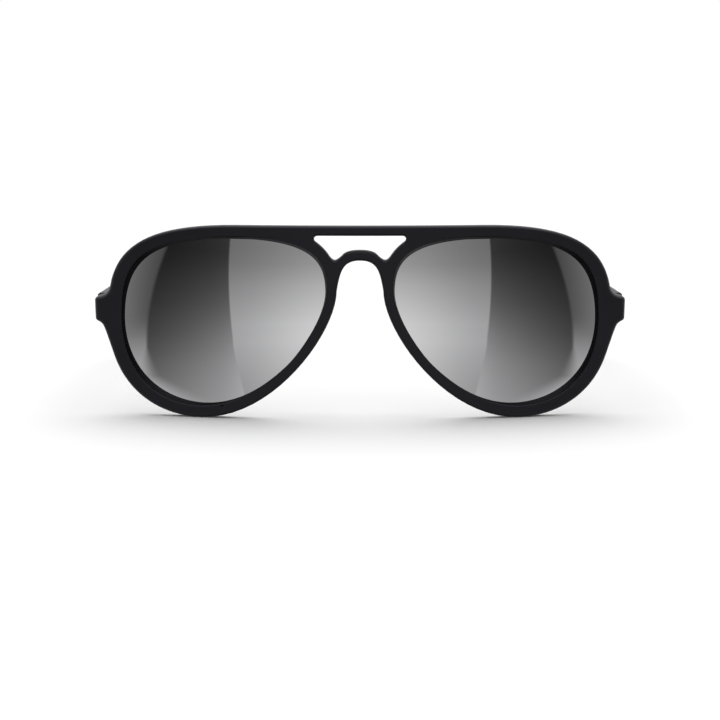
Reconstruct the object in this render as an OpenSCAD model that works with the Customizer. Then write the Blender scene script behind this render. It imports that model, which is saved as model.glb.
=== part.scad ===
// Aviator glasses for snow and rock: a one-piece moulded front, two mirror lenses,
// rubber nose pads, five-knuckle steel hinges and folding arms with bendable rubber tips.
// Millimetres. +Z is up, the lenses look along -Y, and +X is the wearer's left.
// The glasses stand open on the plane z = 0, on the two rims and the two arm tips.

/* [Lenses] */
// Width of each lens opening
lens_w = 57.8; // [48:0.2:70]
// Height of each lens opening
lens_h = 47.3; // [39:0.1:57]
// Distance between the two lens openings
lens_gap = 18.4; // [15:0.2:22]
// Radius of a lens's front surface
lens_r = 88; // [72:1:130]
// Thickness of a lens
lens_t = 2; // [1.6:0.1:2.4]
// How far a lens reaches into its groove
groove_d = 0.9; // [0.6:0.05:1.2]
// How far a lens's edge lies behind the front's outer face
lens_set = 1.1; // [0.8:0.05:1.3]

/* [Front] */
// Radius of the front's curve, seen from above
front_r = 215; // [170:5:300]
// Thickness of the rims and bridges, front to back
front_t = 4.2; // [3.6:0.1:5.2]
// Width of the rim above the lens
rim_top = 3.2; // [2.4:0.1:4]
// Width of the rim below the lens
rim_bottom = 3.3; // [2.4:0.1:4]
// Width of the rim beside the nose
rim_nose = 2.8; // [2.2:0.1:3.6]
// Width of the rim at the temple
rim_side = 4; // [3:0.1:5]
// Height of the straight brow bar
brow_h = 2.7; // [2:0.1:3.4]
// Height of the arched lower bridge
bridge_h = 2.9; // [2.2:0.1:3.6]
// Gap between the brow bar and the top of the arch
bridge_gap = 3.9; // [3:0.1:5]
// Radius of the inside corners around the bridges
bridge_fillet = 0.9; // [0.5:0.1:1.2]

/* [End pieces] */
// Height of the end piece's centre above the table
lug_z = 29.7; // [26:0.1:33]
// Height of the end piece
lug_h = 7.3; // [6.5:0.1:8.8]
// How far the end piece stands out from the rim
lug_out = 3.8; // [3:0.1:5]
// Depth of the end piece at its outer side
lug_t = 7.2; // [6:0.1:9]
// Radius of the end piece's blend into the rim
lug_fillet = 2.6; // [1:0.1:3.6]
// Height of the shoulders above and below the end piece, behind the rim
lug_shoulder = 2; // [0.5:0.1:4]
// Radius of the end piece's outer corners
lug_corner = 0.9; // [0.4:0.1:1.6]

/* [Hinges] */
// Outer radius of the hinge knuckles
knuckle_r = 1.5; // [1.3:0.05:1.7]
// Height of one knuckle
knuckle_h = 1.2; // [0.9:0.05:1.22]
// Gap between two knuckles
knuckle_gap = 0.05; // [0.02:0.01:0.1]
// Radius of the hinge screw's shank
screw_r = 0.7; // [0.5:0.05:0.8]
// Radius of the hinge screw's head
head_r = 1.1; // [0.95:0.05:1.25]
// Height of the hinge screw's head
head_h = 0.6; // [0.4:0.05:0.8]
// Running clearance around the shank
running_gap = 0.05; // [0.02:0.01:0.1]
// Gap between the hinge's knuckles and the faces they turn past
swing_gap = 0.15; // [0.1:0.05:0.3]
// Thickness of the hinge leaves
leaf_t = 0.8; // [0.6:0.1:1]
// Length of the arm's hinge leaf
leaf_len = 10; // [8:0.5:13]
// Depth of the front leaf's anchor in the end piece
anchor_d = 3; // [2:0.1:4]
// Radius of a rivet's shank
rivet_r = 0.6; // [0.4:0.05:0.7]
// Radius of a rivet's head
rivet_head_r = 1; // [0.8:0.05:1.2]

/* [Arms] */
// Thickness of the arm at the hinge
arm_t = 3.75; // [3.2:0.05:4.6]
// Thickness of the arm where its tip starts
arm_end_t = 3; // [2.6:0.05:3.6]
// Height of the arm where its tip starts
arm_end_h = 4.8; // [4:0.1:6]
// Length of the arm from the hinge to the ear bend
arm_len = 88; // [76:1:112]
// How far the arm slopes down towards the ear, in degrees
arm_slope = 0; // [0:0.5:5]
// Gap between the open arm and its end piece
butt_gap = 0.15; // [0.1:0.05:0.3]
// Radius of the arm's inward curve, seen from above
bow_r = 600; // [450:10:900]
// Distance from the hinge at which the inward curve starts
bow_at = 60; // [50:1:70]

/* [Tips] */
// Radius of the ear bend at the arm's middle line
bend_r = 32; // [26:1:40]
// Angle of the hook below the horizontal, in degrees
hook_angle = 40; // [34:1:48]
// Distance before the bend at which the rubber tip starts
tip_lead = 4; // [2:0.5:8]
// Height of the tip at its front edge
tip_start_h = 5.6; // [5:0.1:6.8]
// Height of the tip at its end
tip_end_h = 6.8; // [5.8:0.1:8]
// Thickness of the tip
tip_t = 4.4; // [3.8:0.1:5.4]
// Length of the arm's tongue inside the tip
tongue_len = 6; // [4:0.5:8]
// Radius of the cord hole through the tip
cord_hole_r = 1.1; // [0.8:0.1:1.4]
// Distance from the tip's end to the cord hole
cord_hole_at = 4.2; // [3.6:0.1:5.4]
// Height of the steel core strip
core_h = 1.6; // [1.2:0.1:2]
// Thickness of the steel core strip
core_t = 0.9; // [0.6:0.05:1]
// Length of the core strip ahead of the ear bend
core_lead = 22; // [14:1:30]
// Distance from the tip's end to the end of the core strip
core_back = 9; // [8:0.5:12]

/* [Nose pads] */
// Where a pad sits on the nose side of the rim, as a share of that curve from the bottom
pad_at = 0.64; // [0.58:0.01:0.7]
// Length of a pad along the rim
pad_len = 15; // [12:0.5:18]
// Depth of a pad behind the rim
pad_depth = 7; // [6:0.5:10]
// Thickness of a pad
pad_t = 2.4; // [2.2:0.1:3.2]
// Angle by which a pad opens towards the back, in degrees
pad_splay = 8; // [4:1:24]
// Radius of a pad's corners
pad_corner = 3; // [1.5:0.1:3.5]
// Thickness of the fin that carries a pad
fin_t = 1; // [0.8:0.1:1.3]
// Rubber around the fin at its ends
pad_wall = 2; // [1.2:0.1:2.6]

/* [Hidden] */
$fn = 48;
fit_gap = 0.05; // between pieces that seat in each other
curve_steps = 16; // points on each quarter of a lens outline

// Lens outline: its four extremes as shares of the width and height, and the pull of each
// quarter's two handles, going from the nose side over the top, the temple side and the bottom.
nose_at = 0.69;
side_at = 0.51;
top_at = 0.43;
bottom_at = 0.61;
handles = [[0.47, 0.95], [0.9, 0.62], [0.7, 0.51], [0.54, 0.29]];

lens_x0 = lens_gap / 2;
lens_x1 = lens_x0 + lens_w;
lens_z0 = rim_bottom;
lens_z1 = lens_z0 + lens_h;
brow_z1 = lens_z1 + rim_top;
brow_z0 = brow_z1 - brow_h;
arch_z1 = brow_z0 - bridge_gap;
arch_z0 = arch_z1 - bridge_h;
lug_x = lens_x1 + rim_side + lug_out;

function face_y(x) = front_r - sqrt(front_r * front_r - x * x);
function mix(a, b, t) = a + (b - a) * t;
function smooth(t) = let (u = min(1, max(0, t))) u * u * (3 - 2 * u);

butt_y = face_y(lug_x) + lug_t;
arm_in_x = lug_x - arm_t;
pin_x = arm_in_x - knuckle_r - swing_gap;
pin_y = butt_y + knuckle_r + swing_gap;
stack_h = 5 * knuckle_h + 4 * knuckle_gap;
stack_z0 = lug_z - stack_h / 2;
screw_z1 = stack_z0 + stack_h;

// ---- Outlines in the front view (x, z)

function bezier(p, t) =
    let (u = 1 - t)
    u * u * u * p[0] + 3 * u * u * t * p[1] + 3 * u * t * t * p[2] + t * t * t * p[3];

// Control points of one quarter, from an extreme on a side to an extreme above or below it
function quarter(side, end, pull) = [
    side,
    [side.x, mix(side.y, end.y, pull[0])],
    [mix(end.x, side.x, pull[1]), end.y],
    end
];
function backwards(p) = [p[3], p[2], p[1], p[0]];

lens_nose = [lens_x0, lens_z0 + nose_at * lens_h];
lens_side = [lens_x1, lens_z0 + side_at * lens_h];
lens_top = [lens_x0 + top_at * lens_w, lens_z1];
lens_bottom = [lens_x0 + bottom_at * lens_w, lens_z0];
nose_quarter = backwards(quarter(lens_nose, lens_bottom, [handles[3][1], handles[3][0]]));
lens_quarters = [
    quarter(lens_nose, lens_top, handles[0]),
    backwards(quarter(lens_side, lens_top, [handles[1][1], handles[1][0]])),
    quarter(lens_side, lens_bottom, handles[2]),
    nose_quarter
];
lens_points = [
    for (q = lens_quarters) for (i = [0 : curve_steps - 1]) bezier(q, i / curve_steps)
];

// Rim width in the direction of the outward normal n
function rim_width(n) =
    (n.x > 0 ? rim_side : rim_nose) * n.x * n.x + (n.y > 0 ? rim_top : rim_bottom) * n.y * n.y;
function outward(p, i) =
    let (n = len(p), a = p[(i + 1) % n] - p[(i + n - 1) % n]) [-a.y, a.x] / norm(a);
rim_points = [
    for (i = [0 : len(lens_points) - 1])
        let (n = outward(lens_points, i)) lens_points[i] + n * rim_width(n)
];

module lens_outline(grow = 0) {
    if (grow > 0) offset(delta = grow) polygon(lens_points);
    else polygon(lens_points);
}

// Where the rim's outline leaves for the end piece, from a point on the rim to the end piece's edge
lug_top = lug_z + lug_h / 2;
lug_low = lug_z - lug_h / 2;
rim_x = lens_x1 + rim_side;
function blend(rim_end, z) =
    [for (t = [0.2 : 0.2 : 1]) bezier([rim_end, [rim_x, z], [rim_x, z], [rim_x + 0.7 * lug_fillet, z]], t)];
function corner(z, a) =
    [for (t = [0 : 15 : 90]) [lug_x - lug_corner, z] + lug_corner * [cos(a - t), sin(a - t)]];

half_n = 2 * curve_steps;
above = [for (i = [curve_steps : half_n + curve_steps]) let (p = rim_points[i])
    if (p.y > lug_top + lug_fillet) p];
below = [for (i = [half_n : 2 * half_n - 1]) let (p = rim_points[i])
    if (p.y < lug_low - 0.8 * lug_fillet || i > 3 * curve_steps) p];

// The arched lower bridge: its underside runs down into the rim beside the nose
foot = rim_points[0];
under = [foot, foot + [-0.95, 5.5], [0.73 * foot.x, arch_z0], [0, arch_z0]];
over = [[0, arch_z1], [0.5 * foot.x, arch_z1], [0.81 * foot.x, arch_z1 - 1.1], foot + [1.5, 7]];

// Half of the front's outer outline, from the top of the rim to the middle of the lower bridge
half_outline = concat(
    above,
    blend(above[len(above) - 1], lug_top),
    corner(lug_top - lug_corner, 90),
    corner(lug_low + lug_corner, 0),
    [for (i = [4 : -1 : 0]) blend(below[0], lug_low)[i]],
    below,
    [for (t = [0 : 0.1 : 0.95]) bezier(under, t)]
);
function mirrored(p) = [for (i = [len(p) - 1 : -1 : 0]) [-p[i].x, p[i].y]];

module bridge_opening() {
    half = concat([[lens_top.x, brow_z0]], [for (t = [0 : 0.1 : 1]) bezier(over, 1 - t)]);
    offset(r = bridge_fillet, $fn = 24) offset(delta = -bridge_fillet) difference() {
        polygon(concat(half, mirrored(half)));
        for (m = [0, 1]) mirror([m, 0]) polygon(rim_points);
    }
}

module front_outline() {
    difference() {
        polygon(concat(half_outline, mirrored(half_outline)));
        bridge_opening();
        for (m = [0, 1]) mirror([m, 0]) lens_outline();
    }
}

// ---- Placing

module along_y(y0, y1) {
    translate([0, y1, 0]) rotate([90, 0, 0]) linear_extrude(y1 - y0) children();
}
module along_x(x0, x1) {
    translate([x0, 0, 0]) rotate([90, 0, 90]) linear_extrude(x1 - x0) children();
}
module along_z(z0, z1) {
    translate([0, 0, z0]) linear_extrude(z1 - z0) children();
}
module both_sides() {
    for (m = [0, 1]) mirror([m, 0, 0]) children();
}
// Moves the origin from the front's foremost point to the middle of the whole object's length
module placed() {
    translate([0, -depth / 2, 0]) children();
}
module left() {
    placed() children();
}
module right() {
    placed() mirror([1, 0, 0]) children();
}

// ---- Lenses

wrap = atan((face_y(lens_x1) - face_y(lens_x0)) / lens_w);
half_chord = norm([lens_w, face_y(lens_x1) - face_y(lens_x0)]) / 2;
lens_sphere = let (back = lens_set + sqrt(lens_r * lens_r - half_chord * half_chord)) [
    (lens_x0 + lens_x1) / 2 - back * sin(wrap),
    (face_y(lens_x0) + face_y(lens_x1)) / 2 + back * cos(wrap),
    (lens_z0 + lens_z1) / 2
];

module lens_blank(edge, gap) {
    intersection() {
        along_y(-6, butt_y + 6) lens_outline(edge);
        translate(lens_sphere) difference() {
            sphere(lens_r + gap, $fn = 240);
            sphere(lens_r - lens_t - gap, $fn = 240);
        }
    }
}

module lens() {
    color([0.42, 0.42, 0.43]) lens_blank(groove_d - fit_gap, 0);
}

// ---- Nose pads

pad_point = bezier(nose_quarter, pad_at);
pad_way = bezier(nose_quarter, pad_at + 0.02) - bezier(nose_quarter, pad_at - 0.02);
pad_tilt = atan2(pad_way.x, pad_way.y);
pad_root = pad_point + [-pad_way.y, pad_way.x] / norm(pad_way) * rim_nose / 2;
rim_back_y = face_y(pad_root.x) + front_t;

// Pad's own frame: x across the pad, y backwards from the rim, z along the rim
module at_pad() {
    translate([pad_root.x, rim_back_y, pad_root.y])
        rotate([0, pad_tilt, 0]) rotate([0, 0, -pad_splay]) children();
}

module pad_outline(y0, inset) {
    r = pad_corner - inset;
    y1 = pad_depth - inset;
    half = pad_len / 2 - inset;
    translate([y0, -half]) square([y1 - r - y0, 2 * half]);
    translate([y0, -half + r]) square([y1 - y0, 2 * half - 2 * r]);
    for (z = [-1, 1]) translate([y1 - r, z * (half - r)]) circle(r);
}

module pad_fin(gap) {
    at_pad() along_x(-fin_t / 2 - gap, fin_t / 2 + gap)
        pad_outline(-1.5, pad_wall - gap);
}

module nose_pad() {
    color([0.07, 0.07, 0.075]) difference() {
        at_pad() along_x(-pad_t / 2, pad_t / 2) pad_outline(0.2, 0);
        pad_fin(fit_gap);
        rim_clearance();
    }
}

// What the pad is trimmed to, so that it only meets the rim's back face
module rim_clearance() {
    translate([0, front_r, -1]) difference() {
        cylinder(r = front_r + 20, h = brow_z1);
        translate([0, 0, -1])
            cylinder(r = front_r - front_t - fit_gap, h = brow_z1 + 2, $fn = 240);
    }
}

// ---- Hinges

// Knuckle number n of the stack, counted from below, with its web to the leaf
module knuckle(n, web) {
    translate([0, 0, stack_z0 + n * (knuckle_h + knuckle_gap)]) {
        cylinder(r = knuckle_r, h = knuckle_h);
        translate(web[0]) cube([web[1].x, web[1].y, knuckle_h]);
    }
}

front_web = [[-knuckle_r, -knuckle_r - swing_gap, 0], [2 * knuckle_r, knuckle_r + swing_gap]];
arm_web = [[0, -knuckle_r, 0], [knuckle_r + swing_gap, 2 * knuckle_r]];

module front_leaf_plate(gap) {
    translate([-knuckle_r - gap, -knuckle_r - swing_gap - leaf_t - gap, stack_z0 - gap])
        cube([2 * knuckle_r + 2 * gap, leaf_t + gap, stack_h + 2 * gap]);
    translate([-knuckle_r / 2 - gap, -knuckle_r - swing_gap - leaf_t - anchor_d - gap, lug_z - stack_h / 3])
        cube([knuckle_r + 2 * gap, anchor_d + leaf_t, stack_h * 2 / 3]);
}

module front_hinge_leaf() {
    color([0.62, 0.62, 0.64]) translate([pin_x, pin_y, 0]) difference() {
        union() {
            front_leaf_plate(0);
            for (n = [0, 2, 4]) knuckle(n, front_web);
        }
        translate([0, 0, stack_z0 - 1]) cylinder(r = screw_r, h = knuckle_h + 1 + knuckle_gap / 2);
        translate([0, 0, stack_z0 + knuckle_h]) cylinder(r = screw_r + running_gap, h = stack_h);
        translate([0, 0, screw_z1 - head_h]) cylinder(r = head_r + running_gap, h = head_h + 1);
    }
}

module arm_leaf_plate(gap) {
    translate([knuckle_r + swing_gap, -knuckle_r, lug_z - stack_h / 2 + knuckle_h - gap])
        cube([leaf_t + gap, leaf_len + gap, stack_h - 2 * knuckle_h + 2 * gap]);
}

rivet_y = [leaf_len - 1.9 - knuckle_r, leaf_len - 5.4 - knuckle_r];

module arm_hinge_leaf() {
    color([0.62, 0.62, 0.64]) translate([pin_x, pin_y, 0]) difference() {
        union() {
            arm_leaf_plate(0);
            for (n = [1, 3]) knuckle(n, arm_web);
        }
        translate([0, 0, stack_z0 - 1]) cylinder(r = screw_r + running_gap, h = stack_h + 2);
        rivet_shanks(rivet_r + fit_gap);
    }
}

module hinge_screw() {
    slot = [2 * head_r + 1, 0.35, 0.3];
    color([0.72, 0.72, 0.74]) translate([pin_x, pin_y, 0]) difference() {
        union() {
            translate([0, 0, stack_z0]) cylinder(r = screw_r, h = stack_h - head_h / 2);
            translate([0, 0, screw_z1 - head_h]) cylinder(r = head_r, h = head_h);
        }
        translate([-slot.x / 2, -slot.y / 2, screw_z1 - slot.z]) cube([slot.x, slot.y, 1]);
    }
}

// ---- Rivets that hold the arm's leaf

module rivet_shanks(r, inside = 2) {
    for (y = rivet_y)
        translate([knuckle_r + swing_gap - 0.3, y, lug_z]) rotate([0, 90, 0])
            cylinder(r = r, h = leaf_t + inside);
}

module rivets() {
    color([0.72, 0.72, 0.74]) translate([pin_x, pin_y, 0]) {
        rivet_shanks(rivet_r);
        for (y = rivet_y)
            translate([knuckle_r + swing_gap - 0.4, y, lug_z]) rotate([0, 90, 0])
                cylinder(r = rivet_head_r, h = 0.4);
    }
}

// ---- Arms: a middle line in the side view (y, z), from the hinge to the end of the tip

function way(a) = [cos(a), -sin(a)];
function up(a) = [sin(a), cos(a)];
bend_start = [0, lug_z] + arm_len * way(arm_slope);
bend_centre = bend_start - bend_r * up(arm_slope);
bend_end = bend_centre + bend_r * up(hook_angle);
bend_len = bend_r * (hook_angle - arm_slope) * PI / 180;
hook_len = (bend_end.y - tip_end_h / 2) / sin(hook_angle);
line_len = arm_len + bend_len + hook_len;
line_end = bend_end + hook_len * way(hook_angle);
tip_start = arm_len - tip_lead;
depth = butt_y + line_end.x + tip_end_h / 2;

function line_angle(s) =
    mix(arm_slope, hook_angle, min(1, max(0, (s - arm_len) / bend_len)));
function line_point(s) =
    s < arm_len ? [0, lug_z] + s * way(arm_slope)
    : s < arm_len + bend_len ? bend_centre + bend_r * up(line_angle(s))
    : bend_end + (s - arm_len - bend_len) * way(hook_angle);

function arm_h(s) = mix(lug_h, arm_end_h, smooth(s / arm_len));
function tip_h(s) = mix(tip_start_h, tip_end_h, smooth((s - tip_start) / (line_len - tip_start)));
function edge(s, h) = line_point(s) + up(line_angle(s)) * h;
function stations(s0, s1, n) = [for (i = [0 : n]) mix(s0, s1, i / n)];

module arm_profile() {
    s = stations(-2, tip_start, 14);
    polygon(concat([for (v = s) edge(v, arm_h(v) / 2)],
                   [for (i = [len(s) - 1 : -1 : 0]) edge(s[i], -arm_h(s[i]) / 2)]));
}
module tip_profile() {
    s = stations(tip_start + fit_gap, line_len, 16);
    a = hook_angle;
    polygon(concat([for (v = s) edge(v, tip_h(v) / 2)],
                   [for (t = [75 : -15 : -75])
                       line_end + tip_end_h / 2 * (way(a) * cos(t) + up(a) * sin(t))],
                   [for (i = [len(s) - 1 : -1 : 0]) edge(s[i], -tip_h(s[i]) / 2)]));
}
module tongue_profile(gap) {
    s = stations(tip_start - 1, tip_start + tongue_len + gap, 4);
    h = arm_end_h / 2 - 1 + gap;
    polygon(concat([for (v = s) edge(v, h)], [for (i = [len(s) - 1 : -1 : 0]) edge(s[i], -h)]));
}

// Inward shift of the arm's inner face at distance y behind the hinge, and the arm's thickness there
function bow(y) = y < bow_at ? 0 : pow(y - bow_at, 2) / (2 * bow_r);
function thick(y) = mix(arm_t, arm_end_t, smooth(y / bow_at));

// Plan outline between two distances behind the hinge, as wide as the arm or, with t, that thick
module plan(y0, y1, t = 0) {
    y = stations(y0, y1, 16);
    inner = [for (v = y) [arm_in_x - bow(v) + (t ? (arm_end_t - t) / 2 : 0), v]];
    outer = [for (i = [len(y) - 1 : -1 : 0]) let (v = y[i], p = inner[i]) p + [t ? t : thick(v), 0]];
    polygon(concat(inner, outer));
}

module arm_slab(y0, y1, t = 0) {
    intersection() {
        translate([0, butt_y, 0]) along_x(0, lug_x + 5) children();
        translate([0, butt_y, 0]) along_z(-5, brow_z1 + 5) plan(y0, y1, t);
    }
}

module core_strip(gap) {
    s = stations(arm_len - core_lead - gap, line_len + tip_end_h / 2 - core_back + gap, 20);
    h = core_h / 2 + gap;
    arm_slab(0, line_end.x, core_t + 2 * gap)
        polygon(concat([for (v = s) edge(v, h)],
                       [for (i = [len(s) - 1 : -1 : 0]) edge(s[i], -h)]));
}

module arm() {
    color([0.09, 0.09, 0.1]) difference() {
        union() {
            arm_slab(butt_gap, bend_start.x + 10) arm_profile();
            arm_slab(tip_start - 2, bend_start.x + 20, arm_end_t - 1.2)
                tongue_profile(0);
        }
        translate([pin_x, pin_y, 0]) {
            arm_leaf_plate(fit_gap);
            rivet_shanks(rivet_r + fit_gap, 2 + fit_gap);
            translate([0, 0, -1]) cylinder(r = knuckle_r + swing_gap, h = brow_z1);
        }
        core_strip(fit_gap);
    }
}

module arm_tip() {
    color([0.07, 0.07, 0.075]) difference() {
        arm_slab(tip_start - 5, line_end.x + 10, tip_t) tip_profile();
        arm_slab(tip_start - 5, bend_start.x + 20, arm_end_t - 1.2 + 2 * fit_gap)
            tongue_profile(fit_gap);
        core_strip(fit_gap);
        translate([0, butt_y, 0]) along_x(0, lug_x + 5)
            translate(line_point(line_len + tip_end_h / 2 - cord_hole_at)) circle(cord_hole_r);
    }
}

// ---- Front

// What is cut away behind the rims and bridges, around the two end pieces
module back_cut() {
    x0 = lens_x1 + 0.4;
    x1 = lens_x1 + rim_side - 0.6;
    y1 = butt_y + 1;
    intersection() {
        translate([0, front_r, -2]) cylinder(r = front_r - front_t, h = brow_z1 + 4, $fn = 240);
        union() {
            along_z(-1, brow_z1 + 1) polygon([[-x0, 0], [x0, 0], [x1, y1], [-x1, y1]]);
            for (z = [[-1, lug_low - lug_shoulder], [lug_top + lug_shoulder, brow_z1 + 1]])
                along_z(z[0], z[1]) translate([-lug_x, 0]) square([2 * lug_x, y1]);
        }
    }
}

module front_frame() {
    color([0.09, 0.09, 0.1]) placed() difference() {
        union() {
            difference() {
                intersection() {
                    along_y(-1, butt_y) front_outline();
                    translate([0, front_r, -1]) cylinder(r = front_r, h = brow_z1 + 2, $fn = 240);
                }
                back_cut();
            }
            both_sides() pad_fin(0);
        }
        both_sides() {
            lens_blank(groove_d, fit_gap);
            translate([pin_x, pin_y, 0]) front_leaf_plate(fit_gap);
        }
    }
}

front_frame();
left() lens();  // left_lens
right() lens();  // right_lens
left() nose_pad();  // left_nose_pad
right() nose_pad();  // right_nose_pad
left() front_hinge_leaf();  // left_front_hinge_leaf
right() front_hinge_leaf();  // right_front_hinge_leaf
left() hinge_screw();  // left_hinge_screw
right() hinge_screw();  // right_hinge_screw
left() arm();  // left_arm
right() arm();  // right_arm
left() arm_hinge_leaf();  // left_arm_hinge_leaf
right() arm_hinge_leaf();  // right_arm_hinge_leaf
left() rivets();  // left_arm_rivets
right() rivets();  // right_arm_rivets
left() color([0.6, 0.6, 0.62]) core_strip(0);  // left_core_strip
right() color([0.6, 0.6, 0.62]) core_strip(0);  // right_core_strip
left() arm_tip();  // left_arm_tip
right() arm_tip();  // right_arm_tip
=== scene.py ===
import math
import bpy
from mathutils import Matrix, Vector


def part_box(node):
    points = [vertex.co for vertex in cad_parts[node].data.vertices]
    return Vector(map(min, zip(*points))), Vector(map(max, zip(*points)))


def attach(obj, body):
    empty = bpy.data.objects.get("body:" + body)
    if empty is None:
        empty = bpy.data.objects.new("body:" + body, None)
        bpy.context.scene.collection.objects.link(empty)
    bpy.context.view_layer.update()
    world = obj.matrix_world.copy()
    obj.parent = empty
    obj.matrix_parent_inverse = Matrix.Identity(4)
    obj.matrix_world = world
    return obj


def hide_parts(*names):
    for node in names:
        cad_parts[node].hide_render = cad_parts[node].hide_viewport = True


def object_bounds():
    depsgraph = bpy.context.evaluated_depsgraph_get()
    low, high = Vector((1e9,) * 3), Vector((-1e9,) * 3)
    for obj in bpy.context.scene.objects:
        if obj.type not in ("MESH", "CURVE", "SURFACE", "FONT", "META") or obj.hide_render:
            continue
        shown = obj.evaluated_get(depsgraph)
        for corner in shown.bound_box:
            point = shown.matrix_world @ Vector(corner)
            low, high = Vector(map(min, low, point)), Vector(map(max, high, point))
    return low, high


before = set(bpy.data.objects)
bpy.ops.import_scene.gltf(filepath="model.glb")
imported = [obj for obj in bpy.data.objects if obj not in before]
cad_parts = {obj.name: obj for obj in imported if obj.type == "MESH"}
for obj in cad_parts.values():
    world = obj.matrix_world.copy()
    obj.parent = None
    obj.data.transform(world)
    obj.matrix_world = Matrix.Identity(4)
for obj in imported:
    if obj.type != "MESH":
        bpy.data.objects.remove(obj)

cad_box = [list(corner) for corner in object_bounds()]

# ---- Camera
# A long lens, a little above the table and level with the middle of the front.
front_y = cad_box[0][1]
view_distance = 0.560
view_height = 0.0939
view_tilt_down = 7.831
bpy.ops.object.camera_add(
    location=(0, front_y - view_distance, view_height),
    rotation=(math.radians(90 - view_tilt_down), 0, 0),
)
camera = bpy.context.object
camera.data.sensor_width = 36
camera.data.lens = 102.36
bpy.context.scene.camera = camera
bpy.context.scene.view_settings.view_transform = "Standard"


# ---- Moulded plastic
# The front and the arms are injection-moulded nylon, near black with a faint blue cast.
# The mould is spark-eroded, which leaves a very fine, even grain with slight soft mottling.
def new_group(name, inputs, outputs):
    group = bpy.data.node_groups.new(name, "ShaderNodeTree")
    for socket, value in inputs.items():
        made = group.interface.new_socket(socket, in_out="INPUT", socket_type="NodeSocketFloat")
        made.default_value = value
    for socket, kind in outputs.items():
        group.interface.new_socket(socket, in_out="OUTPUT", socket_type=kind)
    return group, group.nodes.new("NodeGroupInput"), group.nodes.new("NodeGroupOutput")


def link(tree, start, end):
    tree.links.new(start, end)


def moulded_grain_group():
    """Fine pits of the mould's surface, and slow mottling from the way the plastic filled it."""
    group, given, result = new_group(
        "moulded_grain",
        {"Grain Scale": 4200, "Mottle Scale": 70},
        {"Height": "NodeSocketFloat", "Mottle": "NodeSocketFloat"},
    )
    place = group.nodes.new("ShaderNodeTexCoord")
    grain = group.nodes.new("ShaderNodeTexNoise")
    grain.inputs["Detail"].default_value = 2
    grain.inputs["Roughness"].default_value = 0.55
    mottle = group.nodes.new("ShaderNodeTexNoise")
    mottle.inputs["Detail"].default_value = 4
    link(group, place.outputs["Object"], grain.inputs["Vector"])
    link(group, place.outputs["Object"], mottle.inputs["Vector"])
    link(group, given.outputs["Grain Scale"], grain.inputs["Scale"])
    link(group, given.outputs["Mottle Scale"], mottle.inputs["Scale"])
    link(group, grain.outputs["Fac"], result.inputs["Height"])
    link(group, mottle.outputs["Fac"], result.inputs["Mottle"])
    return group


moulded_grain = moulded_grain_group()


def spread(tree, value, low, high):
    """Stretches a 0 to 1 value over low to high."""
    node = tree.nodes.new("ShaderNodeMapRange")
    node.inputs["From Min"].default_value = 0.3
    node.inputs["From Max"].default_value = 0.7
    node.inputs["To Min"].default_value = low
    node.inputs["To Max"].default_value = high
    link(tree, value, node.inputs["Value"])
    return node.outputs["Result"]


def mix_colours(tree, mask, first, second):
    node = tree.nodes.new("ShaderNodeMix")
    node.data_type = "RGBA"
    link(tree, mask, node.inputs["Factor"])
    node.inputs["A"].default_value = (*first, 1)
    node.inputs["B"].default_value = (*second, 1)
    return node.outputs["Result"]


def new_material(name):
    material = bpy.data.materials.new(name)
    material.use_nodes = True
    return material, material.node_tree, material.node_tree.nodes["Principled BSDF"]


def grained(name, dark, light, gloss, grain_scale, depth):
    """A moulded surface: two close shades, a range of roughness, and a grain of that depth."""
    material, tree, shader = new_material(name)
    grain = tree.nodes.new("ShaderNodeGroup")
    grain.node_tree = moulded_grain
    grain.inputs["Grain Scale"].default_value = grain_scale
    grain.inputs["Mottle Scale"].default_value = 70
    bump = tree.nodes.new("ShaderNodeBump")
    bump.inputs["Strength"].default_value = 0.35
    bump.inputs["Distance"].default_value = depth
    shade = mix_colours(tree, spread(tree, grain.outputs["Mottle"], 0, 1), dark, light)
    link(tree, shade, shader.inputs["Base Color"])
    link(tree, spread(tree, grain.outputs["Mottle"], *gloss), shader.inputs["Roughness"])
    link(tree, grain.outputs["Height"], bump.inputs["Height"])
    link(tree, bump.outputs["Normal"], shader.inputs["Normal"])
    shader.inputs["Specular IOR Level"].default_value = 0.22
    return material


plastic = grained(
    "front_plastic",
    dark=(0.0168, 0.0164, 0.0222),
    light=(0.0200, 0.0195, 0.0262),
    gloss=(0.42, 0.50),
    grain_scale=4200,
    depth=0.00003,
)

# ---- Front
# One moulding: two drop-shaped rims, a straight brow bar, an arched lower bridge, and an end
# piece each side. It is drawn flat with a small edge radius, then curved round the face.
mm = 0.001
lens_w = 57.8 * mm
lens_h = 47.3 * mm
lens_gap = 18.4 * mm
rim_top = 3.2 * mm
rim_bottom = 3.3 * mm
rim_nose = 2.8 * mm
rim_side = 4.0 * mm
front_t = 4.2 * mm
front_r = 215 * mm
edge_r = 0.85 * mm
lens_rim_r = 0.3 * mm
lug_z = 29.7 * mm
lug_h = 7.3 * mm
pin_x = 69.4 * mm
strip_w = 1.5 * mm
strips_each_side = 49

front_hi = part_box("front_frame")[1]
lug_x = front_hi.x
butt_y = front_hi.y

lens_x0 = lens_gap / 2
lens_x1 = lens_x0 + lens_w
lens_z0 = rim_bottom
lens_z1 = lens_z0 + lens_h
nose_z = lens_z0 + 0.69 * lens_h
side_z = lens_z0 + 0.51 * lens_h
top_x = lens_x0 + 0.43 * lens_w
bottom_x = lens_x0 + 0.61 * lens_w


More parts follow.
